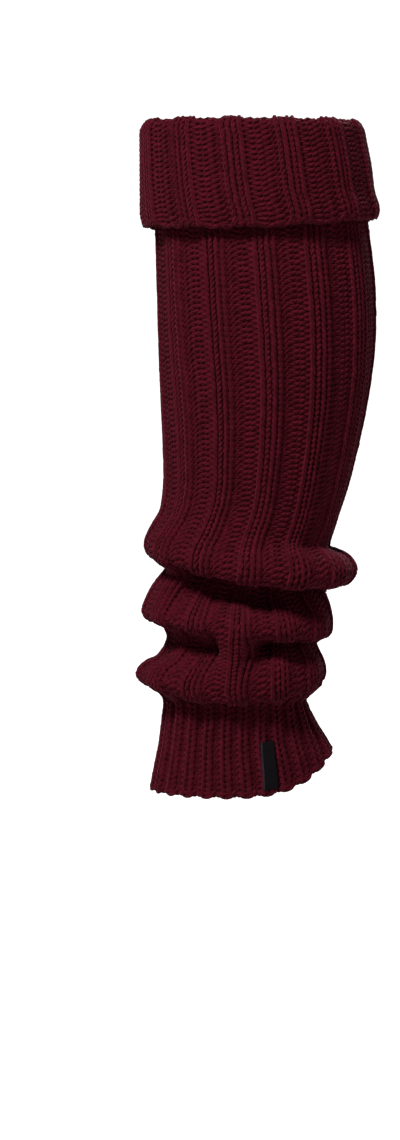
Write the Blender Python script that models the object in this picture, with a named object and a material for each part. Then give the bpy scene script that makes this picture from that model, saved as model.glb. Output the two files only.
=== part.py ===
"""A chunky rib-knit leg warmer, as it sits on a lower leg: a turned-down top cuff, a long tube
that slouches into three folds above the ankle, a finer ankle cuff and a small sewn-on label.

The frame is +Z up, with +X to the back of the calf and the open hollow along Z. The origin is on
the axis of the leg, where the top cuff grips it. Sizes in the tables are in millimetres.
"""

from collections import namedtuple
from math import pi

import bpy
import numpy as np

MM = 0.001

# The cloth is one knitted tube, so each piece has the same wales (columns of stitches) round it.
WALES = 48
RIB_FACE = 2.2  # from the middle of the cloth to the top of a rib
PLAIN_FACE = 1.8  # and to its other face, which is plain
SEAM_CUT = 0.25  # how far each piece ends short of a seam, to stay 0.3 from its neighbour

# One ring of the cloth's middle each, from the hem up: where it stands in front and behind, half
# its width across the leg, how far it hangs lower at the sides than a flat ring, how late on the
# way round its height leaves the front's (1 for a ring that is tilted but flat), how far the ribs
# are shifted round towards the back, and how many bands of wall reach up to the next ring.
Ring = namedtuple("Ring", "name front_x front_z back_x back_z half_y drop late shift bands")
RINGS = (
    Ring("hem", -58.5, -344.6, 40.4, -323.1, 37.0, -0.6, 6.0, -1.2, 1),
    Ring("hem flare", -56.4, -333.5, 36.2, -315.9, 35.2, 0.2, 4.0, -0.8, 1),
    Ring("lower ankle", -54.0, -321.6, 30.6, -306.8, 33.4, 1.0, 2.5, -0.2, 1),
    Ring("upper ankle", -51.9, -305.7, 26.8, -299.1, 32.2, 1.0, 1.5, 0.5, 1),
    Ring("ankle seam", -51.3, -292.6, 25.1, -292.9, 33.0, -0.6, 1.0, 1.0, 2),
    Ring("fold 3 tuck", -57.6, -285.4, 30.3, -287.3, 37.2, 3.4, 1.0, 1.5, 2),
    Ring("fold 3 underside", -62.9, -283.0, 34.9, -282.5, 41.8, 7.0, 1.0, 2.0, 1),
    Ring("fold 3 crest", -66.6, -279.6, 36.3, -277.6, 44.2, 4.8, 1.0, 2.0, 2),
    Ring("fold 3 shoulder", -62.4, -274.0, 34.9, -271.4, 43.0, 3.0, 1.0, 2.0, 1),
    Ring("fold 3 slope", -55.4, -270.7, 32.2, -265.9, 38.3, 1.0, 1.0, 2.0, 2),
    Ring("crease 2-3", -49.0, -258.2, 31.0, -261.0, 30.6, 0.8, 1.0, 2.0, 2),
    Ring("fold 2 tuck", -54.5, -248.3, 34.8, -257.8, 37.8, 1.5, 1.0, 1.5, 1),
    Ring("fold 2 underside", -61.2, -246.9, 39.0, -256.0, 44.0, 2.2, 1.0, 1.5, 1),
    Ring("fold 2 crest", -63.2, -244.1, 40.0, -250.3, 46.4, 2.6, 1.0, 1.0, 2),
    Ring("fold 2 shoulder", -61.9, -239.3, 39.4, -244.1, 42.6, 2.0, 1.0, 1.0, 1),
    Ring("fold 2 slope", -57.8, -230.8, 37.1, -236.5, 33.8, 2.6, 1.0, 0.5, 2),
    Ring("crease 1-2", -49.2, -218.2, 34.2, -230.3, 30.6, 2.2, 1.0, 0.0, 2),
    Ring("fold 1 tuck", -53.5, -214.3, 41.3, -227.6, 38.8, 2.2, 1.0, -1.0, 1),
    Ring("fold 1 underside", -59.6, -211.7, 49.4, -226.8, 46.8, 4.4, 1.0, -1.5, 1),
    Ring("fold 1 crest", -61.8, -207.2, 53.6, -220.4, 49.0, 3.8, 1.0, -1.5, 2),
    Ring("fold 1 shoulder", -60.2, -200.8, 49.6, -213.8, 46.6, 2.6, 1.0, 0.0, 1),
    Ring("fold 1 ledge", -57.5, -195.7, 44.2, -211.2, 43.2, 1.6, 1.0, 2.0, 1),
    Ring("crease above fold 1", -53.2, -188.2, 38.4, -208.6, 40.9, 0.6, 1.0, 4.0, 2),
    Ring("lower calf", -51.0, -173.9, 41.6, -195.2, 39.8, 0.0, 1.0, 6.0, 1),
    Ring("calf taper", -51.1, -153.8, 49.2, -170.6, 42.0, 0.0, 1.0, 5.5, 1),
    Ring("below the calf", -52.4, -123.2, 58.5, -128.7, 45.9, 0.0, 1.0, 3.5, 1),
    Ring("widest calf", -53.5, -95.4, 62.8, -95.4, 48.2, 0.0, 1.0, 1.0, 1),
    Ring("upper calf", -54.4, -62.2, 62.7, -63.3, 48.7, 0.0, 1.0, -0.5, 1),
    Ring("under the cuff", -55.2, -31.3, 58.7, -30.2, 47.0, 0.6, 1.0, -0.5, 1),
    Ring("grip", -55.7, 1.2, 54.4, 0.1, 46.5, 1.1, 1.0, 0.0, 1),
    Ring("top seam", -56.4, 16.5, 49.9, 15.5, 45.0, 0.4, 1.0, 1.5, 1),
    Ring("roll inside", -57.6, 23.6, 50.3, 23.2, 46.0, 0.6, 1.0, 2.0, 2),
    Ring("top roll", -61.0, 26.5, 52.9, 26.4, 48.5, 0.9, 1.0, 2.5, 2),
    Ring("roll outside", -64.1, 23.8, 56.0, 23.4, 51.3, 0.9, 1.0, 2.5, 1),
    Ring("cuff top", -64.4, 17.5, 57.8, 15.5, 52.3, 0.9, 1.0, 3.0, 1),
    Ring("cuff middle", -64.3, 3.9, 60.3, 3.4, 53.2, 2.6, 1.0, 3.5, 1),
    Ring("cuff flare", -64.1, -11.5, 62.2, -10.9, 53.8, 2.8, 1.0, 4.5, 1),
    Ring("cuff lip", -63.7, -24.4, 64.9, -20.8, 53.6, 3.3, 1.1, 6.0, 1),
    Ring("cuff edge", -62.1, -30.0, 63.4, -25.6, 52.8, 3.5, 1.2, 6.5, 1),
)
RING_AT = {ring.name: place for place, ring in enumerate(RINGS)}

# Where a crease is shallow, because some ribs run straight across it: the crease, the middle of
# the place as degrees round from the side towards the back, half its width, how fast it fades
# into the full crease, both in degrees, and the share of the depth that is gone. Where the share
# is below 0, the crease is deeper there instead.
Bridge = namedtuple("Bridge", "crease azimuth half_width fade share")
BRIDGES = (
    Bridge("crease 2-3", -1.5, 3.5, 12.0, 0.95),
    Bridge("crease 2-3", 46.0, 22.0, 18.0, -0.3),
    Bridge("crease 2-3", 150.0, 12.0, 16.0, 0.8),
    Bridge("crease 1-2", -62.0, 8.0, 10.0, 0.25),
    Bridge("crease 1-2", -34.0, 10.0, 12.0, -0.25),
    Bridge("crease 1-2", 36.0, 34.0, 30.0, -0.25),
    Bridge("crease 1-2", -152.0, 14.0, 18.0, 0.7),
    Bridge("crease 1-2", 118.0, 8.0, 14.0, 0.5),
)

BRIDGE_REACH = 3  # rings from a crease to the nearest crests

# A rib's cross-section: how many ribs go round, the places across one repeat, as shares of it
# from the middle of the rib, how high the cloth's face stands there above the plain wall, and
# where the first rib is, as a share of a repeat.
RibForm = namedtuple("RibForm", "repeats places heights first")
WIDE_RIB = RibForm(12, (-0.17, 0.17, 0.30, 0.70), (1.4, 1.4, 0.0, 0.0), 0.0)
FINE_RIB = RibForm(24, (-0.22, 0.22, 0.37, 0.63), (1.5, 1.5, 0.0, 0.0), 0.25)
REVERSE_RIB = RibForm(12, (-0.16, 0.16, 0.29, 0.71), (1.4, 1.4, 0.0, 0.0), 0.5)

# The label, a woven tab that lies on the ankle cuff along its ribs.
LABEL_WIDTH = 8.4
LABEL_LENGTH = 26.5
LABEL_THICK = 0.9
LABEL_GAP = 0.5  # over the tops of the ribs
LABEL_ABOVE_HEM = 2.6
LABEL_WALE = 3.1  # its middle, in wales from the side of the leg towards the back
LABEL_LEAN = 0.35  # wales that its top is further back than its foot
ANKLE_WALE = 5.7  # how wide a wale is where the label lies
LABEL_ROWS = 9
LABEL_COLUMNS = 4

YARN_COLOUR = (0.085, 0.008, 0.016, 1.0)
LABEL_COLOUR = (0.012, 0.012, 0.014, 1.0)

ROUND_STEPS = 720  # to measure the way round a ring
ROW_STEPS = 24  # between two rings, to measure the way up from the hem
NEIGHBOUR = 0.2  # wales to each side, to find which way the cloth faces


def azimuths(ring, wales):
    """The angles round a ring, 0 at the side of the leg and 90 degrees at its back, at which
    these wales stand when all are equally wide."""
    half_x = (ring.back_x - ring.front_x) / 2
    angle = np.linspace(-pi, pi, ROUND_STEPS + 1)
    middle = (angle[1:] + angle[:-1]) / 2
    pace = np.hypot(half_x * np.cos(middle), ring.half_y * np.sin(middle))
    way = np.concatenate([[0.0], np.cumsum(pace)]) * (2 * pi / ROUND_STEPS)
    girth = way[-1]
    wanted = np.asarray(wales) / WALES * girth + ring.shift + girth / 2
    return np.interp(wanted % girth, way, angle)


def ring_points(ring, angle):
    """Points of one ring, an ellipse that is tilted and hangs lower at its sides."""
    share_back = (1 + np.sin(angle)) / 2
    x = ring.front_x + (ring.back_x - ring.front_x) * share_back
    y = -ring.half_y * np.cos(angle)
    climb = (ring.back_z - ring.front_z) * share_back**ring.late
    z = ring.front_z + climb - ring.drop * np.cos(angle) ** 2
    return np.stack([x, y, z], axis=1)


def bridge_shares(bridge, angle):
    """How far each angle is inside a bridge, from 0, outside it, to its full share."""
    away = np.abs((np.degrees(angle) - bridge.azimuth + 180) % 360 - 180)
    inside = np.clip(1 - (away - bridge.half_width) / bridge.fade, 0, 1)
    return (bridge.share * inside**2 * (3 - 2 * inside))[:, None]


def control_points(wales):
    """The rings' points at these wales, with the creases lifted where they are bridged."""
    angles = [azimuths(ring, wales) for ring in RINGS]
    points = np.array([ring_points(*pair) for pair in zip(RINGS, angles)])
    flat = points.copy()
    for bridge in BRIDGES:
        crease = RING_AT[bridge.crease]
        lower, upper = points[crease - BRIDGE_REACH], points[crease + BRIDGE_REACH]
        share = bridge_shares(bridge, angles[crease])
        for step in range(1 - BRIDGE_REACH, BRIDGE_REACH):
            part = (step / BRIDGE_REACH + 1) / 2
            straight = lower * (1 - part) + upper * part
            flat[crease + step] += (straight - flat[crease + step]) * share
    return flat


def smooth_rows(control, bands):
    """Rows of points on smooth curves through the rings' points, bands[k] of them from ring k
    to the next. The curve eases through each ring by the square root of the steps beside it,
    so a tight fold doesn't loop."""
    step = np.diff(control, axis=0)
    pace = np.sqrt(np.linalg.norm(step, axis=2, keepdims=True))
    slope = step / pace
    inner = (slope[:-1] * pace[1:] + slope[1:] * pace[:-1]) / (pace[:-1] + pace[1:])
    tangent = np.concatenate([slope[:1], inner, slope[-1:]])
    rows = []
    for place, count in enumerate(bands):
        start, end = control[place], control[place + 1]
        leave, reach = tangent[place] * pace[place], tangent[place + 1] * pace[place]
        for t in np.arange(count) / count:
            from_start = 2 * t**3 - 3 * t**2 + 1
            rows.append(
                from_start * start
                + (1 - from_start) * end
                + (t**3 - 2 * t**2 + t) * leave
                + (t**3 - t**2) * reach
            )
    rows.append(control[-1])
    return np.array(rows)


def directions(rows):
    """Which way the cloth runs at each row: halfway between the steps before and after it."""
    step = np.diff(rows, axis=0)
    step /= np.linalg.norm(step, axis=2, keepdims=True)
    return np.concatenate([step[:1], step[1:] + step[:-1], step[-1:]])


def cloth(wales, bands):
    """The middle of the cloth at these wales, hem to cuff edge, and which way its right side
    faces there."""
    wales = np.asarray(wales, dtype=float)
    middle = smooth_rows(control_points(wales), bands)
    before = smooth_rows(control_points(wales - NEIGHBOUR), bands)
    after = smooth_rows(control_points(wales + NEIGHBOUR), bands)
    normal = np.cross(after - before, directions(middle))
    return middle, normal / np.linalg.norm(normal, axis=2, keepdims=True)


def rib_columns(form):
    """The wales at which a piece's columns of points stand, and the height of its ribs there."""
    repeat = WALES / form.repeats
    wales = [
        (number + form.first + place) * repeat for number in range(form.repeats) for place in form.places
    ]
    return wales, np.array(form.heights * form.repeats)


def trimmed(middle):
    """The rows with the first and the last pulled back from their seams."""
    rows = middle.copy()
    for end, beside in ((0, 1), (-1, -2)):
        along = middle[beside] - middle[end]
        rows[end] += along / np.linalg.norm(along, axis=1, keepdims=True) * SEAM_CUT
    return rows


def add_mesh(name, points, faces, material):
    """One named, smooth-shaded solid from points in millimetres."""
    mesh = bpy.data.meshes.new(name)
    mesh.from_pydata([tuple(point * MM) for point in points], [], faces)
    mesh.materials.append(material)
    mesh.validate()
    mesh.shade_smooth()
    solid = bpy.data.objects.new(name, mesh)
    bpy.context.collection.objects.link(solid)
    return solid


def grid_faces(rows, columns, first, closed, flipped):
    """Quads between neighbouring points of a grid whose points are numbered from first."""
    faces = []
    for row in range(rows - 1):
        for column in range(columns if closed else columns - 1):
            here = first + row * columns
            beside = (column + 1) % columns
            quad = (here + column, here + beside, here + columns + beside, here + columns + column)
            faces.append(quad[::-1] if flipped else quad)
    return faces


def add_tube(name, first_ring, last_ring, form, ribs_inside, material):
    """A ribbed wall between two rings. Its ribs stand on the right side of the cloth, or on the
    wrong side where the cloth is turned down, and its other face is plain."""
    wales, heights = rib_columns(form)
    start, stop = RING_AT[first_ring], RING_AT[last_ring]
    bands = [ring.bands for ring in RINGS[:-1]]
    first_row, last_row = sum(bands[:start]), sum(bands[:stop])
    middle, normal = cloth(wales, bands)
    middle = trimmed(middle[first_row : last_row + 1])
    normal = normal[first_row : last_row + 1]
    ribbed = (RIB_FACE - max(heights) + heights)[None, :, None]
    right_height, wrong_height = (PLAIN_FACE, ribbed) if ribs_inside else (ribbed, PLAIN_FACE)
    right, wrong = middle + normal * right_height, middle - normal * wrong_height
    rows, columns = middle.shape[:2]
    count = rows * columns
    faces = grid_faces(rows, columns, 0, True, False) + grid_faces(rows, columns, count, True, True)
    for column in range(columns):
        beside = (column + 1) % columns
        low, high = 0, (rows - 1) * columns
        faces.append((low + beside, low + column, count + low + column, count + low + beside))
        faces.append((high + column, high + beside, count + high + beside, count + high + column))
    points = np.concatenate([right.reshape(-1, 3), wrong.reshape(-1, 3)])
    return add_mesh(name, points, faces, material)


def add_label(material):
    """A thin tab made from the ankle cuff's own points, moved out."""
    half = LABEL_WIDTH / 2 / ANKLE_WALE
    wales = np.linspace(LABEL_WALE - half, LABEL_WALE + half, LABEL_COLUMNS)
    bands = [ROW_STEPS] * (len(RINGS) - 1)
    foot, foot_normal = cloth(wales - LABEL_LEAN / 2, bands)
    head, head_normal = cloth(wales + LABEL_LEAN / 2, bands)
    way = np.concatenate(
        [[0.0], np.cumsum(np.linalg.norm(np.diff(foot.mean(axis=1), axis=0), axis=1))]
    )
    wanted = LABEL_ABOVE_HEM + np.linspace(0, LABEL_LENGTH, LABEL_ROWS)
    picked = np.searchsorted(way, wanted)
    up = np.linspace(0, 1, LABEL_ROWS)[:, None, None]
    middle = foot[picked] * (1 - up) + head[picked] * up
    normal = foot_normal[picked] * (1 - up) + head_normal[picked] * up
    normal /= np.linalg.norm(normal, axis=2, keepdims=True)
    lower = RIB_FACE + LABEL_GAP
    back, front = middle + normal * lower, middle + normal * (lower + LABEL_THICK)
    rows, columns = LABEL_ROWS, LABEL_COLUMNS
    count = rows * columns
    faces = grid_faces(rows, columns, 0, False, False) + grid_faces(rows, columns, count, False, True)
    bottom = list(range(columns))
    top = [(rows - 1) * columns + place for place in reversed(range(columns))]
    right = [row * columns + columns - 1 for row in range(rows)]
    left = [row * columns for row in reversed(range(rows))]
    for edge in (bottom, right, top, left):
        for one, other in zip(edge, edge[1:]):
            faces.append((other, one, count + one, count + other))
    points = np.concatenate([front.reshape(-1, 3), back.reshape(-1, 3)])
    return add_mesh("label", points, faces, material)


def add_material(name, colour, roughness):
    """A plain finish."""
    material = bpy.data.materials.new(name)
    material.use_nodes = True
    shader = material.node_tree.nodes["Principled BSDF"]
    shader.inputs["Base Color"].default_value = colour
    shader.inputs["Roughness"].default_value = roughness
    shader.inputs["Metallic"].default_value = 0.0
    return material


def main():
    for leftover in list(bpy.data.objects):
        bpy.data.objects.remove(leftover)
    yarn = add_material("knitted yarn", YARN_COLOUR, 0.95)
    satin = add_material("label satin", LABEL_COLOUR, 0.6)
    pieces = [
        add_tube("ankle_cuff", "hem", "ankle seam", FINE_RIB, False, yarn),
        add_tube("leg_tube", "ankle seam", "top seam", WIDE_RIB, False, yarn),
        add_tube("top_cuff", "top seam", "cuff edge", REVERSE_RIB, True, yarn),
        add_label(satin),
    ]
    wearer = bpy.data.objects.new("leg_axis", None)
    bpy.context.collection.objects.link(wearer)
    for piece in pieces:
        piece.parent = wearer


main()
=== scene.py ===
"""The looks of a chunky rib-knit leg warmer, as it sits on a lower leg.

Every stitch is a loop of yarn that lies on the cloth's form, which the solids' own tables give.
A thin shell of cloth closes the gaps behind the yarn of each piece. Sizes are in millimetres
until a mesh is made.
"""

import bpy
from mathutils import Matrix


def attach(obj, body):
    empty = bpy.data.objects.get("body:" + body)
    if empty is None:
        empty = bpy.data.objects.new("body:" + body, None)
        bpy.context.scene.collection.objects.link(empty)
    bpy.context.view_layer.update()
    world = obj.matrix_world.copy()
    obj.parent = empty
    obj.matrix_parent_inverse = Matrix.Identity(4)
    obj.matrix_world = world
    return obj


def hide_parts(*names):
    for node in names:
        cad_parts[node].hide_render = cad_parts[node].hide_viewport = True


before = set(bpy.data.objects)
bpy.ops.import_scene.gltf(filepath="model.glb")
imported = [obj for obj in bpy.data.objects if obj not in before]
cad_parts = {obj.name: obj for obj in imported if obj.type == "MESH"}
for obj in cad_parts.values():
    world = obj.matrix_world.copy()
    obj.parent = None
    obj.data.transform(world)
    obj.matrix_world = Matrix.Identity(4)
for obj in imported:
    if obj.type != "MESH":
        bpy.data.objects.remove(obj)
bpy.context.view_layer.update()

from collections import namedtuple
from math import pi

import bpy
import numpy as np
from mathutils import Vector

MM = 0.001

# The cloth's form ---------------------------------------------------------------------------

WALES = 48  # columns of stitches round the tube
COURSES = 160  # rows of stitches, from the hem to the cuff edge

# One ring of the cloth's middle each, as in the solids: where it stands in front and behind, half
# its width across the leg, how far it hangs lower at the sides than a flat ring, how late on the
# way round its height leaves the front's, and how far the ribs are shifted towards the back.
Ring = namedtuple("Ring", "name front_x front_z back_x back_z half_y drop late shift")
RINGS = (
    Ring("hem", -58.5, -344.6, 40.4, -323.1, 37.0, -0.6, 6.0, -1.2),
    Ring("hem flare", -56.4, -333.5, 36.2, -315.9, 35.2, 0.2, 4.0, -0.8),
    Ring("lower ankle", -54.0, -321.6, 30.6, -306.8, 33.4, 1.0, 2.5, -0.2),
    Ring("upper ankle", -51.9, -305.7, 26.8, -299.1, 32.2, 1.0, 1.5, 0.5),
    Ring("ankle seam", -51.3, -292.6, 25.1, -292.9, 33.0, -0.6, 1.0, 1.0),
    Ring("fold 3 tuck", -57.6, -285.4, 30.3, -287.3, 37.2, 3.4, 1.0, 1.5),
    Ring("fold 3 underside", -62.9, -283.0, 34.9, -282.5, 41.8, 7.0, 1.0, 2.0),
    Ring("fold 3 crest", -66.6, -279.6, 36.3, -277.6, 44.2, 4.8, 1.0, 2.0),
    Ring("fold 3 shoulder", -62.4, -274.0, 34.9, -271.4, 43.0, 3.0, 1.0, 2.0),
    Ring("fold 3 slope", -55.4, -270.7, 32.2, -265.9, 38.3, 1.0, 1.0, 2.0),
    Ring("crease 2-3", -49.0, -258.2, 31.0, -261.0, 30.6, 0.8, 1.0, 2.0),
    Ring("fold 2 tuck", -54.5, -248.3, 34.8, -257.8, 37.8, 1.5, 1.0, 1.5),
    Ring("fold 2 underside", -61.2, -246.9, 39.0, -256.0, 44.0, 2.2, 1.0, 1.5),
    Ring("fold 2 crest", -63.2, -244.1, 40.0, -250.3, 46.4, 2.6, 1.0, 1.0),
    Ring("fold 2 shoulder", -61.9, -239.3, 39.4, -244.1, 42.6, 2.0, 1.0, 1.0),
    Ring("fold 2 slope", -57.8, -230.8, 37.1, -236.5, 33.8, 2.6, 1.0, 0.5),
    Ring("crease 1-2", -49.2, -218.2, 34.2, -230.3, 30.6, 2.2, 1.0, 0.0),
    Ring("fold 1 tuck", -53.5, -214.3, 41.3, -227.6, 38.8, 2.2, 1.0, -1.0),
    Ring("fold 1 underside", -59.6, -211.7, 49.4, -226.8, 46.8, 4.4, 1.0, -1.5),
    Ring("fold 1 crest", -61.8, -207.2, 53.6, -220.4, 49.0, 3.8, 1.0, -1.5),
    Ring("fold 1 shoulder", -60.2, -200.8, 49.6, -213.8, 46.6, 2.6, 1.0, 0.0),
    Ring("fold 1 ledge", -57.5, -195.7, 44.2, -211.2, 43.2, 1.6, 1.0, 2.0),
    Ring("crease above fold 1", -53.2, -188.2, 38.4, -208.6, 40.9, 0.6, 1.0, 4.0),
    Ring("lower calf", -51.0, -173.9, 41.6, -195.2, 39.8, 0.0, 1.0, 6.0),
    Ring("calf taper", -51.1, -153.8, 49.2, -170.6, 42.0, 0.0, 1.0, 5.5),
    Ring("below the calf", -52.4, -123.2, 58.5, -128.7, 45.9, 0.0, 1.0, 3.5),
    Ring("widest calf", -53.5, -95.4, 62.8, -95.4, 48.2, 0.0, 1.0, 1.0),
    Ring("upper calf", -54.4, -62.2, 62.7, -63.3, 48.7, 0.0, 1.0, -0.5),
    Ring("under the cuff", -55.2, -31.3, 58.7, -30.2, 47.0, 0.6, 1.0, -0.5),
    Ring("grip", -55.7, 1.2, 54.4, 0.1, 46.5, 1.1, 1.0, 0.0),
    Ring("top seam", -56.4, 16.5, 49.9, 15.5, 45.0, 0.4, 1.0, 1.5),
    Ring("roll inside", -57.6, 23.6, 50.3, 23.2, 46.0, 0.6, 1.0, 2.0),
    Ring("top roll", -61.0, 26.5, 52.9, 26.4, 48.5, 0.9, 1.0, 2.5),
    Ring("roll outside", -64.1, 23.8, 56.0, 23.4, 51.3, 0.9, 1.0, 2.5),
    Ring("cuff top", -64.4, 17.5, 57.8, 15.5, 52.3, 0.9, 1.0, 3.0),
    Ring("cuff middle", -64.3, 3.9, 60.3, 3.4, 53.2, 2.6, 1.0, 3.5),
    Ring("cuff flare", -64.1, -11.5, 62.2, -10.9, 53.8, 2.8, 1.0, 4.5),
    Ring("cuff lip", -63.7, -24.4, 64.9, -20.8, 53.6, 3.3, 1.1, 6.0),
    Ring("cuff edge", -62.1, -30.0, 63.4, -25.6, 52.8, 3.5, 1.2, 6.5),
)
RING_AT = {ring.name: place for place, ring in enumerate(RINGS)}

# Where a crease is shallow, because some ribs run straight across it: the crease, the middle of
# the place as degrees round from the side towards the back, half its width, how fast it fades
# into the full crease, both in degrees, and the share of the depth that is gone. Where the share
# is below 0, the crease is deeper there instead.
Bridge = namedtuple("Bridge", "crease azimuth half_width fade share")
BRIDGES = (
    Bridge("crease 2-3", -1.5, 3.5, 12.0, 0.95),
    Bridge("crease 2-3", 46.0, 22.0, 18.0, -0.3),
    Bridge("crease 2-3", 150.0, 12.0, 16.0, 0.8),
    Bridge("crease 1-2", -62.0, 8.0, 10.0, 0.25),
    Bridge("crease 1-2", -34.0, 10.0, 12.0, -0.25),
    Bridge("crease 1-2", 36.0, 34.0, 30.0, -0.25),
    Bridge("crease 1-2", -152.0, 14.0, 18.0, 0.7),
    Bridge("crease 1-2", 118.0, 8.0, 14.0, 0.5),
)
BRIDGE_REACH = 3  # rings from a crease to the nearest crests

# How closely the courses lie, against those of the ankle cuff, at some of the rings. Between two
# of them it changes evenly.
CLOSENESS = {
    "hem": 1.0,
    "fold 1 crest": 1.0,
    "lower calf": 1.05,
    "under the cuff": 1.05,
    "top seam": 1.12,
    "cuff edge": 1.12,
}

ROUND_STEPS = 720  # to measure the way round a ring
NEIGHBOUR = 0.2  # wales to each side, to find which way the cloth faces
GRID_WALES = 8  # columns of the grid to a wale
GRID_BANDS = 10  # rows of the first grid to a span between two rings
GRID_COURSES = 6  # rows of the finished grid to a course
COURSE_EASE = 2.5  # wales over which a course evens out the lengths of cloth below it


def azimuths(ring, wales):
    """The angles round a ring, 0 at the side of the leg and 90 degrees at its back, at which
    these wales stand when all are equally wide."""
    half_x = (ring.back_x - ring.front_x) / 2
    angle = np.linspace(-pi, pi, ROUND_STEPS + 1)
    middle = (angle[1:] + angle[:-1]) / 2
    pace = np.hypot(half_x * np.cos(middle), ring.half_y * np.sin(middle))
    way = np.concatenate([[0.0], np.cumsum(pace)]) * (2 * pi / ROUND_STEPS)
    girth = way[-1]
    wanted = np.asarray(wales) / WALES * girth + ring.shift + girth / 2
    return np.interp(wanted % girth, way, angle)


def ring_points(ring, angle):
    """Points of one ring, an ellipse that is tilted and hangs lower at its sides."""
    share_back = (1 + np.sin(angle)) / 2
    x = ring.front_x + (ring.back_x - ring.front_x) * share_back
    y = -ring.half_y * np.cos(angle)
    climb = (ring.back_z - ring.front_z) * share_back**ring.late
    z = ring.front_z + climb - ring.drop * np.cos(angle) ** 2
    return np.stack([x, y, z], axis=1)


def bridge_shares(bridge, angle):
    """How far each angle is inside a bridge, from 0, outside it, to its full share."""
    away = np.abs((np.degrees(angle) - bridge.azimuth + 180) % 360 - 180)
    inside = np.clip(1 - (away - bridge.half_width) / bridge.fade, 0, 1)
    return (bridge.share * inside**2 * (3 - 2 * inside))[:, None]


def control_points(wales):
    """The rings' points at these wales, with the creases lifted where they are bridged."""
    angles = [azimuths(ring, wales) for ring in RINGS]
    points = np.array([ring_points(*pair) for pair in zip(RINGS, angles)])
    flat = points.copy()
    for bridge in BRIDGES:
        crease = RING_AT[bridge.crease]
        lower, upper = points[crease - BRIDGE_REACH], points[crease + BRIDGE_REACH]
        share = bridge_shares(bridge, angles[crease])
        for step in range(1 - BRIDGE_REACH, BRIDGE_REACH):
            part = (step / BRIDGE_REACH + 1) / 2
            straight = lower * (1 - part) + upper * part
            flat[crease + step] += (straight - flat[crease + step]) * share
    return flat


def smooth_rows(control, bands):
    """Rows of points on smooth curves through the rings' points, bands[k] of them from ring k
    to the next. The curve eases through each ring by the square root of the steps beside it,
    so a tight fold doesn't loop."""
    step = np.diff(control, axis=0)
    pace = np.sqrt(np.linalg.norm(step, axis=2, keepdims=True))
    slope = step / pace
    inner = (slope[:-1] * pace[1:] + slope[1:] * pace[:-1]) / (pace[:-1] + pace[1:])
    tangent = np.concatenate([slope[:1], inner, slope[-1:]])
    rows = []
    for place, count in enumerate(bands):
        start, end = control[place], control[place + 1]
        leave, reach = tangent[place] * pace[place], tangent[place + 1] * pace[place]
        for t in np.arange(count) / count:
            from_start = 2 * t**3 - 3 * t**2 + 1
            rows.append(
                from_start * start
                + (1 - from_start) * end
                + (t**3 - 2 * t**2 + t) * leave
                + (t**3 - t**2) * reach
            )
    rows.append(control[-1])
    return np.array(rows)


def directions(rows):
    """Which way the cloth runs at each row: halfway between the steps before and after it."""
    step = np.diff(rows, axis=0)
    step /= np.linalg.norm(step, axis=2, keepdims=True)
    return np.concatenate([step[:1], step[1:] + step[:-1], step[-1:]])


def cloth_rows(wales, bands):
    """The middle of the cloth at these wales, hem to cuff edge, and which way its right side
    faces there."""
    wales = np.asarray(wales, dtype=float)
    middle = smooth_rows(control_points(wales), bands)
    before = smooth_rows(control_points(wales - NEIGHBOUR), bands)
    after = smooth_rows(control_points(wales + NEIGHBOUR), bands)
    normal = np.cross(after - before, directions(middle))
    return middle, normal / np.linalg.norm(normal, axis=2, keepdims=True)


def smoothed_round(values, width):
    """Rows of values round the tube, each blurred along itself by a bell this wide."""
    count = values.shape[1]
    waves = np.fft.rfftfreq(count)
    bell = np.exp(-2 * (pi * waves * width) ** 2)
    return np.fft.irfft(np.fft.rfft(values, axis=1) * bell, count, axis=1)


class Cloth:
    """The cloth's middle and facing at any place, which is given in wales round from the side
    of the leg and in courses up from the hem."""

    def __init__(self):
        """Fills a grid of middles and normals, evenly spaced in wales and courses."""
        wales = np.arange(WALES * GRID_WALES) / GRID_WALES
        middle, normal = cloth_rows(wales, [GRID_BANDS] * (len(RINGS) - 1))
        span = np.arange(len(middle) - 1) / GRID_BANDS
        known = [RING_AT[name] for name in CLOSENESS]
        closeness = np.interp(span, known, list(CLOSENESS.values()))
        step = np.linalg.norm(np.diff(middle, axis=0), axis=2) * closeness[:, None]
        way = np.concatenate([np.zeros((1, len(wales))), np.cumsum(step, axis=0)])
        way = smoothed_round(way, COURSE_EASE * GRID_WALES)
        course = way / way[-1] * COURSES
        wanted = np.arange(COURSES * GRID_COURSES + 1) / GRID_COURSES
        both = np.concatenate([middle, normal], axis=2)
        self.grid = np.empty((len(wanted), len(wales), both.shape[2]))
        for column in range(len(wales)):
            reached = course[:, column]
            for part in range(both.shape[2]):
                self.grid[:, column, part] = np.interp(wanted, reached, both[:, column, part])

    def at(self, wale, course):
        """Middle and normal, in millimetres, at arrays of places. Past an end the cloth goes
        straight on."""
        across = np.asarray(wale) % WALES * GRID_WALES
        up = np.asarray(course) * GRID_COURSES
        column = np.floor(across).astype(int)
        row = np.clip(np.floor(up).astype(int), 0, COURSES * GRID_COURSES - 1)
        part_across = (across - column)[..., None]
        part_up = (up - row)[..., None]
        column %= WALES * GRID_WALES
        beside = (column + 1) % (WALES * GRID_WALES)
        lower, upper = [
            self.grid[line, column] * (1 - part_across) + self.grid[line, beside] * part_across
            for line in (row, row + 1)
        ]
        both = lower * (1 - part_up) + upper * part_up
        normal = both[..., 3:]
        return both[..., :3], normal / np.linalg.norm(normal, axis=-1, keepdims=True)


# The knitting ---------------------------------------------------------------------------------

REPEAT = 4  # wales over which the rib repeats
SEED = 7  # of the unevenness

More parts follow.
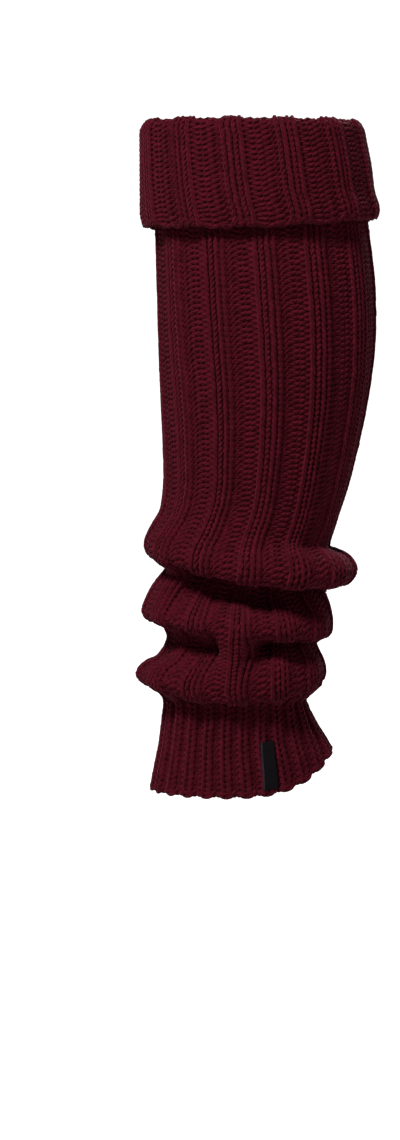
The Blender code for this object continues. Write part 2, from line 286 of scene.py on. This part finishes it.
# One way of knitting: the faces of its wales over one repeat (1 for knit, -1 for purl), the share
# of the repeat's width that the knit wales take, how far they stand out from the middle, how far
# the yarn swings in and out of the cloth, half a loop's height in courses, how far its neck is
# pulled in and how far its head leans, both in wales, how many courses a row falls over a knit
# wale, and the yarn's radius.
Knit = namedtuple("Knit", "faces share relief depth height neck lean slant radius")
RIB = Knit((1, -1, -1, 1), 0.48, 0.60, 0.85, 0.92, 0.21, 0.05, 0.80, 1.25)
CUFF_RIB = Knit((1, -1, -1, 1), 0.57, 0.60, 0.85, 0.92, 0.21, 0.05, 0.80, 1.25)
ANKLE_RIB = Knit((1, -1, 1, -1), 0.66, 0.90, 0.80, 0.92, 0.21, 0.0, 0.3, 1.25)

# One piece of yarn each: its name, its first course and the one after its last, how it is
# knitted, and the yarn's points per stitch and round.
Stretch = namedtuple("Stretch", "name first stop knit steps sides")
ANKLE_TOP = 17  # the course at which the ankle cuff ends and the tube starts
TUBE_TOP = 136  # the course at which the tube turns down into the top cuff
STRETCHES = (
    Stretch("ankle_yarn", 0, ANKLE_TOP, ANKLE_RIB, 10, 6),
    Stretch("fold_yarn", ANKLE_TOP, 50, RIB, 10, 6),
    Stretch("shin_yarn", 50, 83, RIB, 10, 6),
    Stretch("calf_yarn", 83, 116, RIB, 10, 6),
    Stretch("hidden_yarn", 116, TUBE_TOP, RIB, 8, 5),
    Stretch("cuff_yarn", TUBE_TOP, COURSES, CUFF_RIB, 10, 6),
)
FACE_TURN = 0.22  # wales over which the yarn goes from a knit wale to a purl one
EDGE_EASE = 5.0  # courses over which the rows come level towards the hem or the cuff edge
EDGE_ROOM = 0.4  # courses that the yarn stays inside these edges

# No two stitches are alike: the spread of the random numbers, and how far such a number moves
# the yarn along its row, changes a loop's height as a share, and moves it up and out.
UNEVEN = 0.5
UNEVEN_ALONG = 0.04  # wales
UNEVEN_HEIGHT = 0.05
UNEVEN_UP = 0.06  # courses
UNEVEN_OUT = 0.12

# The edges are bound with two strands that are laid round each other: the name, the course, how
# many courses it moves on a knit rib, the knitting that it follows, the radius of a strand and
# how far it lies from the middle of the two.
Binding = namedtuple("Binding", "name course scallop knit radius lay")
BINDINGS = (
    Binding("hem_binding", 0.65, -0.3, ANKLE_RIB, 1.25, 0.85),
    Binding("cuff_binding", 159.35, 0.35, CUFF_RIB, 1.2, 0.8),
)
BINDING_TURNS = 0.5  # of the strands round each other, to a wale
BINDING_STEPS = 12  # points of a strand to a wale
BINDING_SIDES = 8

# The thin cloth behind the yarn, a sheet for each piece of the tube: its name, its first course
# and the one after its last, how it is knitted, the solid it stands for, its cut as the way
# round and the length in metres, and the pieces that go with it.
Sheet = namedtuple("Sheet", "name first stop knit node flat riders")
SHEETS = (
    Sheet("ankle_cloth", 0, ANKLE_TOP, ANKLE_RIB, "ankle_cuff", (0.247, 0.052),
          ("ankle_yarn", "hem_binding", "label_tab")),
    Sheet("tube_cloth", ANKLE_TOP, TUBE_TOP, RIB, "leg_tube", (0.31, 0.351),
          ("fold_yarn", "shin_yarn", "calf_yarn", "hidden_yarn")),
    Sheet("cuff_cloth", TUBE_TOP, COURSES, CUFF_RIB, "top_cuff", (0.356, 0.065),
          ("cuff_yarn", "cuff_binding")),
)
SHEET_COLUMNS = 2  # to a wale
SHEET_RELIEF = 0.6  # as a share of the yarn's
SHEET_THICK = 0.9
SHEET_INSET = 0.5  # courses that it ends inside the hem and the cuff edge

# The yarn is plied: how often its plies go round it along one stitch, and how many they are.
PLY_TURNS = 1.5
PLIES = 3
MAP_MARGIN = 0.04  # of a strip, left free at each side on the map for textures

# The label, a woven tab. Its ends are sewn down, so they lie lower, and they are thinner.
LABEL_WALE = 3.1  # where its middle is
LABEL_LEAN = 0.35  # wales that its top is further back than its foot
LABEL_WALE_WIDTH = 5.7  # of the wales below it
LABEL_ABOVE_HEM = 2.6
LABEL_LENGTH = 26.5
LABEL_BACK = 2.75  # from the cloth's middle to its back
LABEL_ROWS = 40
LABEL_CROWDING = 0.25  # how much its rows crowd towards its ends
LABEL_DIP = 0.55  # how much lower its ends are
LABEL_DIP_LENGTH = 4.0
LABEL_END_SHARE = 0.3  # of its thickness that is left at its very ends
LABEL_END_LENGTH = 0.6  # over which a whole thickness would come back
MEASURE_STEPS = 20  # steps to a course, to measure the way up the cloth
# Its section, right edge to right edge round the front and the back: across and out. The long
# sides are folded under, so they are a little thicker than the middle.
LABEL_SECTION = (
    (4.25, 0.36), (4.16, 0.62), (3.85, 0.78), (3.4, 0.80), (2.95, 0.72), (2.5, 0.62), (1.3, 0.60),
    (0.0, 0.61), (-1.3, 0.60), (-2.5, 0.62), (-2.95, 0.72), (-3.4, 0.80), (-3.85, 0.78),
    (-4.16, 0.62), (-4.25, 0.36), (-4.1, 0.08), (-3.4, 0.0), (0.0, 0.0), (3.4, 0.0), (4.1, 0.08),
)
LABEL_FOLD = 3.15  # from its middle to a folded side


def eased(part):
    """A share from 0 to 1 that starts and ends slowly."""
    return part * part * (3 - 2 * part)


def unevenness(rng, courses, points):
    """A number for each stitch, about -1 to 1, that changes smoothly along the course."""
    value = rng.normal(0, UNEVEN, (courses, WALES))
    place = points - 0.5
    whole = np.floor(place).astype(int)
    part = eased(place - whole)
    return value[:, whole % WALES] * (1 - part) + value[:, (whole + 1) % WALES] * part


def face_along(faces, points):
    """1 on a knit wale and -1 on a purl one, turning over within the yarn between them."""
    whole = np.floor(points).astype(int)
    part = points - whole
    before, here, after = [np.array(faces)[(whole + step) % REPEAT] for step in (-1, 0, 1)]
    start = eased(np.clip(0.5 + part / FACE_TURN / 2, 0, 1))
    end = eased(np.clip(0.5 + (part - 1) / FACE_TURN / 2, 0, 1))
    return here * start + before * (1 - start) + (after - here) * end


def spread(faces, share, points):
    """Where a place along the course lies in even wales, when knit wales are wider or narrower
    than purl ones."""
    widths = np.where(np.array(faces) > 0, share, 1 - share)
    widths = widths * REPEAT / widths.sum()
    edges = np.concatenate([[0.0], np.cumsum(widths)])
    start = np.floor(points / REPEAT) * REPEAT
    return start + np.interp(points - start, np.arange(REPEAT + 1), edges)


def row_climb(faces, wale):
    """How far a row stands above its mean at a place along it: it falls by one over each knit
    wale and rises by one over each purl wale."""
    edge = -np.concatenate([[0], np.cumsum(faces)])
    return np.interp(wale % REPEAT, np.arange(REPEAT + 1), edge - edge.mean())


def yarn_path(cloth, stretch, rng):
    """The yarn's middle line in each course of a stretch, and the cloth's facing beside it."""
    knit = stretch.knit
    courses = np.arange(stretch.first, stretch.stop)
    points = np.arange(WALES * stretch.steps) / stretch.steps
    face = face_along(knit.faces, points)
    along, height, up, outwards = [unevenness(rng, len(courses), points) for _ in range(4)]
    wave = -np.cos(2 * pi * points)
    swing = -np.cos(4 * pi * points)
    sway = knit.neck + face * knit.lean * np.sin(2 * pi * points)
    wale = points + sway * np.sin(4 * pi * points)
    climb = row_climb(knit.faces, wale) * knit.slant
    wale = spread(knit.faces, knit.share, wale) + UNEVEN_ALONG * along
    level = np.clip(np.minimum(courses, COURSES - 1 - courses) / EDGE_EASE, 0, 1)[:, None]
    loop = knit.height * wave * (1 + UNEVEN_HEIGHT * height)
    course = courses[:, None] + 0.5 + loop + UNEVEN_UP * up
    course = np.clip(course + climb * level, EDGE_ROOM, COURSES - EDGE_ROOM)
    out = face * (knit.relief + knit.depth * swing) + UNEVEN_OUT * outwards
    middle, normal = cloth.at(np.broadcast_to(wale, course.shape), course)
    return middle + normal * out[..., None], normal


def closed_tubes(path, facing, radius, sides):
    """Points round each closed path, its first index the path, then along, then round."""
    tangent = np.roll(path, -1, axis=1) - np.roll(path, 1, axis=1)
    tangent /= np.linalg.norm(tangent, axis=2, keepdims=True)
    across = np.cross(tangent, facing)
    across /= np.linalg.norm(across, axis=2, keepdims=True)
    up = np.cross(across, tangent)
    angle = np.arange(sides) * 2 * pi / sides
    ring = across[:, :, None] * np.cos(angle)[:, None] + up[:, :, None] * np.sin(angle)[:, None]
    return path[:, :, None] + ring * radius


def tube_faces(turns, steps, sides):
    """Quads of closed tubes whose points are numbered path by path, then along, then round."""
    turn = np.arange(turns)[:, None, None]
    step = np.arange(steps)[None, :, None]
    side = np.arange(sides)[None, None, :]
    base = turn * steps * sides
    here, ahead = base + step * sides, base + (step + 1) % steps * sides
    beside = (side + 1) % sides
    quads = np.stack([here + side, here + beside, ahead + beside, ahead + side], axis=-1)
    return quads.reshape(-1, 4)


def add_mesh(name, points, faces, material, maps):
    """One smooth-shaded piece that rides the part's only body, from points in millimetres, quads
    and any maps of the quads' corners."""
    mesh = bpy.data.meshes.new(name)
    points = np.asarray(points, dtype=np.float32).reshape(-1, 3) * MM
    faces = np.asarray(faces, dtype=np.int32)
    mesh.vertices.add(len(points))
    mesh.vertices.foreach_set("co", points.ravel())
    mesh.loops.add(faces.size)
    mesh.loops.foreach_set("vertex_index", faces.ravel())
    mesh.polygons.add(len(faces))
    mesh.polygons.foreach_set("loop_start", np.arange(len(faces), dtype=np.int32) * 4)
    mesh.update(calc_edges=True)
    mesh.materials.append(material)
    mesh.shade_smooth()
    for layer, places in maps.items():
        mesh.uv_layers.new(name=layer)
        mesh.uv_layers[layer].data.foreach_set("uv", np.asarray(places, dtype=np.float32).ravel())
    piece = bpy.data.objects.new(name, mesh)
    bpy.context.collection.objects.link(piece)
    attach(piece, "root")
    return piece


def tube_maps(turns, steps, sides, twists):
    """Two maps for the faces of closed tubes: one on which each tube is a strip of its own, and
    one whose first number counts the turns of the plies along it, its second the way round."""
    along = (np.arange(steps)[:, None, None] + (0, 0, 1, 1)) / steps
    round_ = (np.arange(sides)[None, :, None] + (0, 1, 1, 0)) / sides
    along, round_ = np.broadcast_arrays(along, round_)
    turn = np.arange(turns)[:, None, None, None]
    strip = (turn + MAP_MARGIN + (1 - 2 * MAP_MARGIN) * round_) / turns
    spread_out = np.stack(np.broadcast_arrays(along[None], strip), axis=-1)
    ply = np.stack(np.broadcast_arrays((along * twists)[None], round_ + 0 * strip), axis=-1)
    return {"OFBake": spread_out, "ply": ply}


def add_yarn(cloth, stretch, material, rng):
    """All the yarn of one stretch."""
    path, facing = yarn_path(cloth, stretch, rng)
    points = closed_tubes(path, facing, stretch.knit.radius, stretch.sides)
    size = (path.shape[0], path.shape[1], stretch.sides)
    maps = tube_maps(*size, WALES * PLY_TURNS)
    return add_mesh(stretch.name, points, tube_faces(*size), material, maps)


def add_binding(cloth, binding, material):
    """The two strands along an edge."""
    points = np.arange(WALES * BINDING_STEPS) / BINDING_STEPS
    wale = spread(binding.knit.faces, binding.knit.share, points)
    course = binding.course + binding.scallop * face_along(binding.knit.faces, points)
    middle, normal = cloth.at(wale, course)
    above, _ = cloth.at(wale, course + 0.5)
    below, _ = cloth.at(wale, course - 0.5)
    up = above - below
    up /= np.linalg.norm(up, axis=1, keepdims=True)
    relief = face_along(binding.knit.faces, points) * binding.knit.relief
    strands = []
    for start in (0.0, pi):
        turn = 2 * pi * BINDING_TURNS * points + start
        out = relief + binding.lay * np.cos(turn)
        strands.append(middle + normal * out[:, None] + up * (binding.lay * np.sin(turn))[:, None])
    facing = np.broadcast_to(normal, (len(strands),) + normal.shape)
    tubes = closed_tubes(np.array(strands), facing, binding.radius, BINDING_SIDES)
    size = (len(strands), len(points), BINDING_SIDES)
    maps = tube_maps(*size, WALES)
    return add_mesh(binding.name, tubes, tube_faces(*size), material, maps)


def add_label(cloth, material):
    """The tab on the ankle cuff, made from the cloth's own points, moved out."""
    fine = np.linspace(0, ANKLE_TOP, MEASURE_STEPS * ANKLE_TOP)
    middle, _ = cloth.at(np.full(len(fine), LABEL_WALE), fine)
    way = np.concatenate([[0.0], np.cumsum(np.linalg.norm(np.diff(middle, axis=0), axis=1))])
    end = np.linspace(-1, 1, LABEL_ROWS)
    crowded = np.sin(end * pi / 2) * LABEL_CROWDING + end * (1 - LABEL_CROWDING)
    along = (crowded + 1) / 2 * LABEL_LENGTH
    across, out = np.array(LABEL_SECTION).T
    course = np.interp(LABEL_ABOVE_HEM + along, way, fine)[:, None]
    leaning = LABEL_LEAN * (along / LABEL_LENGTH - 0.5)
    wale = LABEL_WALE + leaning[:, None] + across[None, :] / LABEL_WALE_WIDTH
    middle, normal = cloth.at(*np.broadcast_arrays(wale, course))
    from_end = np.minimum(along, LABEL_LENGTH - along)
    sunk = LABEL_DIP * np.clip(1 - from_end / LABEL_DIP_LENGTH, 0, 1) ** 2
    full = np.clip(LABEL_END_SHARE + from_end / LABEL_END_LENGTH, 0, 1)
    height = out.max() / 2 + (out[None, :] - out.max() / 2) * full[:, None]
    lift = LABEL_BACK - sunk[:, None] + height
    points = middle + normal * lift[..., None]
    rows, columns = lift.shape
    row, column = np.arange(rows - 1)[:, None], np.arange(columns)[None, :]
    beside = (column + 1) % columns
    low, high = row * columns, (row + 1) * columns
    sides = np.stack([low + beside, low + column, high + column, high + beside], axis=-1)
    # The ends are closed by faces that run from the front to the back.
    front = np.arange(columns // 2 - 1)
    back = columns - 1 - front
    cap = np.stack([front, front + 1, back - 1, back], axis=-1)
    top = (rows - 1) * columns
    faces = np.concatenate([sides.reshape(-1, 4), cap, top + cap[:, ::-1]])
    places = np.stack(np.broadcast_arrays(across[None, :], along[:, None]), axis=-1).reshape(-1, 2)
    return add_mesh("label_tab", points, faces, material, {"weave": places[faces]})


def add_sheet(cloth, sheet, material):
    """A thin closed wall of cloth in the middle of the yarn."""
    knit = sheet.knit
    columns = np.arange(WALES * SHEET_COLUMNS) / SHEET_COLUMNS
    courses = np.clip(np.arange(sheet.first, sheet.stop + 1), SHEET_INSET, COURSES - SHEET_INSET)
    face = face_along(knit.faces, columns)
    wale = np.broadcast_to(spread(knit.faces, knit.share, columns), (len(courses), len(columns)))
    middle, normal = cloth.at(wale, np.broadcast_to(courses[:, None], wale.shape))
    middle = middle + normal * (face * knit.relief * SHEET_RELIEF)[None, :, None]
    outer, inner = middle + normal * SHEET_THICK / 2, middle - normal * SHEET_THICK / 2
    rows, round_ = wale.shape
    low = np.arange(rows - 1)[:, None] * round_
    high = low + round_
    column = np.arange(round_)
    beside = (column + 1) % round_
    quads = np.stack([low + column, low + beside, high + beside, high + column], axis=-1)
    quads = quads.reshape(-1, 4)
    # The inner face is the outer one's copy, turned over, and two rows of quads join their ends.
    count = rows * round_
    foot = np.stack([beside, column, count + column, count + beside], axis=-1)
    top = foot[:, [1, 0, 3, 2]] + count - round_
    faces = np.concatenate([quads, count + quads[:, ::-1], foot, top])
    points = np.concatenate([outer.reshape(-1, 3), inner.reshape(-1, 3)])
    return add_mesh(sheet.name, points, faces, material, {})


# Looks --------------------------------------------------------------------------------------

WHITE = (1.0, 1.0, 1.0, 1.0)

# The yarn's colours, from its own uneven tone along its fibres and from painted shade in the
# grooves between its plies.
YARN_STOPS = ((0.42, (0.0175, 0.00065, 0.0020, 1.0)), (0.92, (0.0380, 0.0017, 0.0050, 1.0)))
YARN_SURFACE = {
    "Roughness": 0.9,
    "Specular IOR Level": 0.03,
    "Sheen Weight": 0.05,
    "Sheen Roughness": 0.45,
    "Sheen Tint": (0.85, 0.15, 0.25, 1.0),
}
FIBRE_STRETCH = 0.8  # steps of the fibres' pattern for each turn of the plies
# Painted shade: the plies darken the yarn's colour in the grooves between them.
PLY_GROOVE_SHADE = 0.09  # how much the plies add to the yarn's tone
PLY_RELIEF = 0.8  # and to its relief
FIBRE_TONE = 0.3
FIBRE_RELIEF = 0.9
YARN_RELIEF = 0.0004  # metres
YARN_STRENGTH = 0.6  # of the relief

BACKING_SURFACE = {"Roughness": 0.95, "Specular IOR Level": 0.03}
BACKING_TONE = 0.05  # at its darkest
MOTTLING = 1.2  # how much its clouds add to this

LABEL_STOPS = ((0.0, (0.0006, 0.0006, 0.0006, 1.0)), (1.0, (0.020, 0.015, 0.020, 1.0)))
LABEL_SURFACE = {"Roughness": 0.7, "Specular IOR Level": 0.02}
WEAVE_ACROSS = 0.34  # one repeat of the weave, across the tape
WEAVE_ALONG = 0.42  # and along it
LABEL_TONE = 0.09
WEAVE_TONE = 0.08  # how much the weave adds to this
FOLD_TONE = 0.45  # and the folded side
WEAVE_RELIEF = 0.00008  # metres
WEAVE_STRENGTH = 0.8  # of the relief

FLOOR_SURFACE = {
    "Base Color": (0.2, 0.2, 0.2, 1.0),
    "Roughness": 0.8,
    "Specular IOR Level": 0.05,
    "Emission Color": WHITE,
    "Emission Strength": 0.97,
}


def new_material(name, surface):
    """A material and its shader, which is set to this surface."""
    material = bpy.data.materials.new(name)
    material.use_nodes = True
    shader = material.node_tree.nodes["Principled BSDF"]
    for socket, value in surface.items():
        shader.inputs[socket].default_value = value
    return material, shader


def calculated(material, operation, *values):
    """The result of a sum or function of sockets and numbers."""
    node = material.node_tree.nodes.new("ShaderNodeMath")
    node.operation = operation
    for place, value in enumerate(values):
        if isinstance(value, (int, float)):
            node.inputs[place].default_value = value
        else:
            material.node_tree.links.new(value, node.inputs[place])
    return node.outputs["Value"]


def mixed(material, start, *parts):
    """A socket or number, with shares of other sockets added to it."""
    total = start
    for socket, share in parts:
        total = calculated(material, "MULTIPLY_ADD", socket, share, total)
    return total


def noise(material, place, scale, detail):
    """A cloudy number, 0 to 1, at a place."""
    node = material.node_tree.nodes.new("ShaderNodeTexNoise")
    node.inputs["Scale"].default_value = scale
    node.inputs["Detail"].default_value = detail
    material.node_tree.links.new(place, node.inputs["Vector"])
    return node.outputs["Fac"]


def own_place(material):
    """The socket that gives each point's place on its object."""
    return material.node_tree.nodes.new("ShaderNodeTexCoord").outputs["Object"]


def mapped(material, layer):
    """The two numbers of a map."""
    nodes, links = material.node_tree.nodes, material.node_tree.links
    source = nodes.new("ShaderNodeUVMap")
    source.uv_map = layer
    split = nodes.new("ShaderNodeSeparateXYZ")
    links.new(source.outputs["UV"], split.inputs["Vector"])
    return split.outputs["X"], split.outputs["Y"]


def shade(material, number, stops, socket):
    """Colours a shader's socket by a number, from stops of position and colour."""
    ramp = material.node_tree.nodes.new("ShaderNodeValToRGB")
    for element, (position, colour) in zip(ramp.color_ramp.elements, stops):
        element.position = position
        element.color = colour
    material.node_tree.links.new(number, ramp.inputs["Fac"])
    material.node_tree.links.new(ramp.outputs["Color"], socket)


def raise_relief(material, height, distance, strength):
    """Bumps the material's shader by a height."""
    bump = material.node_tree.nodes.new("ShaderNodeBump")
    bump.inputs["Strength"].default_value = strength
    bump.inputs["Distance"].default_value = distance
    material.node_tree.links.new(height, bump.inputs["Height"])
    shader = material.node_tree.nodes["Principled BSDF"]
    material.node_tree.links.new(bump.outputs["Normal"], shader.inputs["Normal"])


def fibre_noise(material, turns, angle):
    """A pattern drawn out along the plies, which runs on without a seam round the yarn."""
    fibre = material.node_tree.nodes.new("ShaderNodeCombineXYZ")
    ways = (
        calculated(material, "COSINE", angle),
        calculated(material, "SINE", angle),
        calculated(material, "MULTIPLY", turns, FIBRE_STRETCH),
    )
    for way, socket in zip(ways, fibre.inputs):
        material.node_tree.links.new(way, socket)
    return noise(material, fibre.outputs["Vector"], scale=5.0, detail=3.0)


def yarn_material():
    """Matte plied yarn, its fibres running along the plies."""
    material, shader = new_material("burgundy yarn", YARN_SURFACE)
    turns, round_ = mapped(material, "ply")
    angle = calculated(material, "MULTIPLY", calculated(material, "ADD", turns, round_), 2 * pi)
    plies = calculated(material, "SINE", calculated(material, "MULTIPLY", angle, PLIES))
    fibres = fibre_noise(material, turns, angle)
    place = own_place(material)
    cloud = noise(material, place, scale=260.0, detail=4.0)
    fuzz = noise(material, place, scale=1400.0, detail=3.0)
    # Painted shade darkens the grooves between the plies; the clouds and fibres are the yarn's own
    # uneven tone.
    tone = mixed(material, cloud, (plies, PLY_GROOVE_SHADE), (fibres, FIBRE_TONE))
    shade(material, tone, YARN_STOPS, shader.inputs["Base Color"])
    height = mixed(material, fuzz, (plies, PLY_RELIEF), (fibres, FIBRE_RELIEF))
    raise_relief(material, height, YARN_RELIEF, YARN_STRENGTH)
    return material


def backing_material():
    """The same yarn behind the loops, where only its mottling shows."""
    material, shader = new_material("yarn behind", BACKING_SURFACE)
    cloud = noise(material, own_place(material), scale=900.0, detail=4.0)
    tone = mixed(material, BACKING_TONE, (cloud, MOTTLING))
    shade(material, tone, YARN_STOPS, shader.inputs["Base Color"])
    raise_relief(material, cloud, YARN_RELIEF, YARN_STRENGTH)
    return material


def label_material():
    """Black woven tape whose folded side towards the shin is paler."""
    material, shader = new_material("label weave", LABEL_SURFACE)
    across, along = mapped(material, "weave")
    threads = []
    for way, repeat in ((across, WEAVE_ACROSS), (along, WEAVE_ALONG)):
        turned = calculated(material, "MULTIPLY", way, 2 * pi / repeat)
        threads.append(calculated(material, "SINE", turned))
    weave = calculated(material, "MULTIPLY", *threads)
    fold = calculated(material, "LESS_THAN", across, -LABEL_FOLD)
    tone = mixed(material, LABEL_TONE, (weave, WEAVE_TONE), (fold, FOLD_TONE))
    shade(material, tone, LABEL_STOPS, shader.inputs["Base Color"])
    raise_relief(material, weave, WEAVE_RELIEF, WEAVE_STRENGTH)
    return material


# The pieces -----------------------------------------------------------------------------------


def add_pieces(cloth):
    """Everything that the solids are dressed in; the solids that the label and the sheets stand
    for are hidden.
    """
    rng = np.random.default_rng(SEED)
    yarn = yarn_material()
    for stretch in STRETCHES:
        add_yarn(cloth, stretch, yarn, rng)
    for binding in BINDINGS:
        add_binding(cloth, binding, yarn)
    label = add_label(cloth, label_material())
    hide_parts("label")
    backing = backing_material()
    for sheet in SHEETS:
        shell = add_sheet(cloth, sheet, backing)
        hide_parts(sheet.node)


# The studio -----------------------------------------------------------------------------------

# The floor lies well below the cloth. It is level, and bends up into a wall far behind. It glows,
# so that it stays pale all over. Its measures are in millimetres.
FLOOR_Z = -524.0
FLOOR_FRONT = -4000.0
FLOOR_BACK = 3400.0
FLOOR_SIDE = 5000.0
BEND_RADIUS = 600.0
BEND_STEPS = 12
WALL_TOP = 4000.0

# The lamps are round and shine at one place. Their places and widths are in metres.
Lamp = namedtuple("Lamp", "name place width power colour")
LAMPS = (
    Lamp("key", (-0.8, -1.35, 1.65), 0.6, 162.0, (1.0, 1.0, 1.0)),
    Lamp("fill", (1.9, -0.9, 0.7), 1.2, 12.0, (0.9, 0.93, 1.0)),
    Lamp("back", (1.0, 2.5, 1.9), 1.0, 150.0, (1.0, 1.0, 1.0)),
)
LAMP_AIM = Vector((0.0, 0.0, -0.15))
WORLD_LIGHT = 0.04

# The camera's lens and sensor are in millimetres, its places and reach in metres.
CAMERA_PLACE = Vector((-0.0325, -1.6, -0.087))
CAMERA_AIM = Vector((-0.0325, 0.0, -0.221))
CAMERA_LENS = 90.54
CAMERA_SENSOR = 36.0
CAMERA_REACH = 20.0


def add_stage():
    """The plain pale floor."""
    profile = [(FLOOR_FRONT, FLOOR_Z)]
    for step in range(BEND_STEPS + 1):
        turn = pi / 2 * step / BEND_STEPS
        across, up = BEND_RADIUS * np.sin(turn), BEND_RADIUS * (1 - np.cos(turn))
        profile.append((FLOOR_BACK + across, FLOOR_Z + up))
    profile.append((FLOOR_BACK + BEND_RADIUS, WALL_TOP))
    points = [(x * MM, y * MM, z * MM) for y, z in profile for x in (-FLOOR_SIDE, FLOOR_SIDE)]
    faces = [(2 * k, 2 * k + 1, 2 * k + 3, 2 * k + 2) for k in range(len(profile) - 1)]
    mesh = bpy.data.meshes.new("floor")
    mesh.from_pydata(points, [], faces)
    mesh.materials.append(new_material("pale floor", FLOOR_SURFACE)[0])
    mesh.shade_smooth()
    floor = bpy.data.objects.new("floor", mesh)
    bpy.context.collection.objects.link(floor)


def aimed(name, data, place, aim):
    """An object of this data at a place, looking at another."""
    looker = bpy.data.objects.new(name, data)
    looker.location = place
    looker.rotation_euler = (aim - Vector(place)).to_track_quat("-Z", "Y").to_euler()
    bpy.context.collection.objects.link(looker)
    return looker


def add_lamps():
    """Soft light from the front left, a weak fill from the right and one lamp behind."""
    for lamp in LAMPS:
        light = bpy.data.lights.new(lamp.name, "AREA")
        light.shape = "DISK"
        light.size = lamp.width
        light.energy = lamp.power
        light.color = lamp.colour
        aimed(lamp.name, light, lamp.place, LAMP_AIM)


def add_camera():
    """The camera looks at the side of the leg, a little down."""
    camera = bpy.data.cameras.new("camera")
    camera.sensor_width = CAMERA_SENSOR
    camera.lens = CAMERA_LENS
    camera.clip_end = CAMERA_REACH
    bpy.context.scene.camera = aimed("camera", camera, CAMERA_PLACE, CAMERA_AIM)


def set_world():
    """A faint even light from all sides, and colours shown as they are."""
    world = bpy.data.worlds.new("studio")
    world.use_nodes = True
    background = world.node_tree.nodes["Background"]
    background.inputs["Color"].default_value = WHITE
    background.inputs["Strength"].default_value = WORLD_LIGHT
    bpy.context.scene.world = world
    bpy.context.scene.view_settings.view_transform = "Standard"


add_pieces(Cloth())
add_stage()
add_lamps()
add_camera()
set_world()
